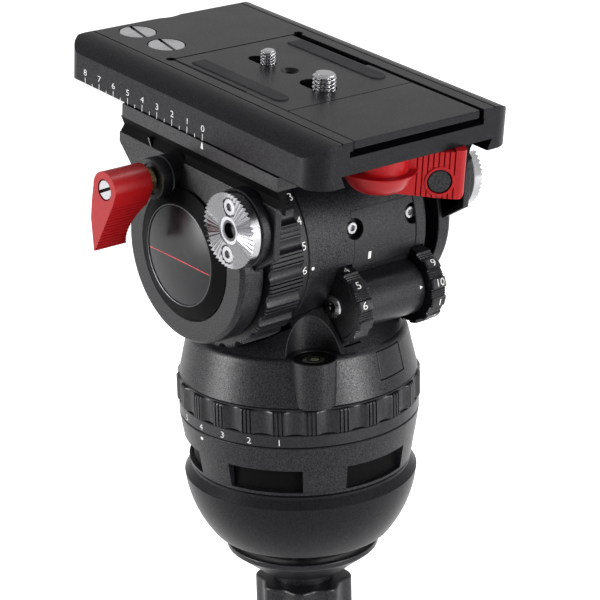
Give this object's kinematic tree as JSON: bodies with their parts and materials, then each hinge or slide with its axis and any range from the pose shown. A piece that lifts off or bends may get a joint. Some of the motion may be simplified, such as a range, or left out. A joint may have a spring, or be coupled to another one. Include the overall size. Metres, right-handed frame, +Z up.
{
  "type": "fluid video head",
  "caption": "Fluid video tripod head with half-ball base, pan and tilt drag rings, counterbalance dials, tilting cradle, sliding balance platform and quick-release camera plate.",
  "frame": {"origin": "centre of the half ball, on the pan axis, in the plane of the tripod bowl rim", "axes": "+Z up along the pan axis, +Y towards the lens, +X to the right of a person standing behind the head"},
  "size_m": [0.1714, 0.1679, 0.2634],
  "materials": {
    "anodised": "black anodised, fine satin",
    "satin": "black satin",
    "casting": "black fine-textured paint",
    "grey": "dark grey satin",
    "polymer": "matt black",
    "rubber": "fine ribbed black rubber",
    "red": "satin red anodised",
    "silver": "bright machined",
    "steel": "turned bright steel",
    "brass": "turned",
    "gloss": "polished black",
    "glass": "clear with yellow-green liquid"
  },
  "bodies": {
    "base": {"half_ball": "anodised", "fixed_base": "casting", "pan_axle": "steel", "tie_down_stud": "steel", "pan_drag_cartridge": "steel"},
    "clamp_cup": {"clamp_cup": "anodised"},
    "tie_down_knob": {"tie_down_knob": "polymer"},
    "pan_drag_ring": {"pan_drag_ring": "satin"},
    "pan": {"pan_housing": "casting", "pan_bearing": "steel", "pan_cover_plate": "satin", "level_vial": "glass", "tilt_housing": "casting", "tilt_bearing_left": "steel", "tilt_bearing_right": "steel", "tilt_drag_cartridge": "steel", "counterbalance_spring": "steel", "balance_cover_panel": "satin", "side_ring": "satin", "counterbalance_barrel": "satin", "dial_cap_left": "satin", "dial_cap_right": "satin", "dial_shaft": "steel", "pan_brake_washer": "brass", "pan_brake_screw": "steel"},
    "pan_brake_lever": {"pan_brake_lever": "red"},
    "tilt_drag_ring": {"tilt_drag_ring": "satin"},
    "balance_dial_left": {"balance_dial_left": "polymer"},
    "balance_dial_right": {"balance_dial_right": "polymer"},
    "tilt": {"tilt_axle": "steel", "cradle": "grey", "slide_pad_left": "polymer", "slide_pad_right": "polymer", "left_cheek": "casting", "right_cheek": "casting", "left_bezel": "steel", "right_bezel": "steel", "left_dome_cap": "gloss", "right_dome_cap": "gloss", "left_rosette": "silver", "right_rosette": "silver", "tilt_brake_washer": "brass", "tilt_brake_screw": "steel", "slide_lock_washer": "brass", "slide_lock_screw": "steel"},
    "tilt_brake_lever": {"tilt_brake_lever": "red"},
    "slide_lock_lever": {"slide_lock_lever": "red"},
    "platform": {"balance_platform": "anodised", "spare_screw_front": "steel", "spare_screw_rear": "steel", "plate_clamp_jaw": "steel", "release_pivot_pin": "steel"},
    "release_lever": {"release_lever": "red"},
    "release_button": {"release_button": "polymer"},
    "camera_plate": {"camera_plate": "anodised", "grip_strip_left": "rubber", "grip_strip_right": "rubber"},
    "camera_screw_small": {"camera_screw_small": "steel"},
    "camera_screw_large": {"camera_screw_large": "steel"}
  },
  "joints": [
    {"name": "pan_rotation", "type": "hinge", "parent": "base", "child": "pan", "pos_m": [0, 0, 0.04], "axis": [0, 0, 1], "continuous": true},
    {"name": "pan_drag", "type": "hinge", "parent": "base", "child": "pan_drag_ring", "pos_m": [0, 0, 0.0317], "axis": [0, 0, 1], "range_deg": [-50, 25]},
    {"name": "tilt", "type": "hinge", "parent": "pan", "child": "tilt", "pos_m": [0, 0, 0.1024], "axis": [1, 0, 0], "range_deg": [-81.4, 53.6]},
    {"name": "tilt_drag", "type": "hinge", "parent": "pan", "child": "tilt_drag_ring", "pos_m": [-0.035, 0, 0.1024], "axis": [1, 0, 0], "range_deg": [0, 90]},
    {"name": "balance_dial_left", "type": "hinge", "parent": "pan", "child": "balance_dial_left", "pos_m": [-0.0056, -0.03518, 0.07749], "axis": [1, 0, 0], "continuous": true},
    {"name": "balance_dial_right", "type": "hinge", "parent": "pan", "child": "balance_dial_right", "pos_m": [0.0341, -0.03518, 0.07749], "axis": [1, 0, 0], "continuous": true},
    {"name": "pan_brake", "type": "hinge", "parent": "pan", "child": "pan_brake_lever", "pos_m": [0.03253, 0.03253, 0.0485], "axis": [0.7071, 0.7071, 0], "range_deg": [0, 60]},
    {"name": "tilt_brake", "type": "hinge", "parent": "tilt", "child": "tilt_brake_lever", "pos_m": [-0.075, 0.01226, 0.13225], "axis": [1, 0, 0], "range_deg": [0, 60]},
    {"name": "slide_lock", "type": "hinge", "parent": "tilt", "child": "slide_lock_lever", "pos_m": [0.075, 0.01226, 0.13225], "axis": [1, 0, 0], "range_deg": [0, 60]},
    {"name": "platform_slide", "type": "slide", "parent": "tilt", "child": "platform", "axis": [0, -0.9938, -0.1111], "range_m": [0, 0.08]},
    {"name": "plate_slide", "type": "slide", "parent": "platform", "child": "camera_plate", "axis": [0, -0.9938, -0.1111], "range_m": [0, 0.118]},
    {"name": "release_lever", "type": "hinge", "parent": "platform", "child": "release_lever", "pos_m": [-0.007, -0.06065, 0.1409], "axis": [0, -0.1111, 0.9938], "range_deg": [-75, 0]},
    {"name": "release_button", "type": "slide", "parent": "release_lever", "child": "release_button", "axis": [0.5299, 0.8428, 0.0942], "range_m": [0, 0.0015], "stiffness_N_per_m": 400, "springref_m": -0.0008},
    {"name": "camera_screw_small", "type": "hinge", "parent": "camera_plate", "child": "camera_screw_small", "pos_m": [-0.0032, 0.01088, 0.16801], "axis": [0, -0.1111, 0.9938], "continuous": true},
    {"name": "camera_screw_large", "type": "hinge", "parent": "camera_plate", "child": "camera_screw_large", "pos_m": [-0.0038, -0.025, 0.164], "axis": [0, -0.1111, 0.9938], "continuous": true},
    {"name": "cup_slide", "type": "slide", "parent": "base", "child": "clamp_cup", "axis": [0, 0, 1], "range_m": [-0.00525, 0.0035]},
    {"name": "knob_turn", "type": "hinge", "parent": "clamp_cup", "child": "tie_down_knob", "pos_m": [0, 0, -0.066], "axis": [0, 0, 1], "range_deg": [-1080, 720]}
  ],
  "couplings": [
    {"joint": "cup_slide", "follows": "knob_turn", "m_per_rad": 0.00027852}
  ]
}
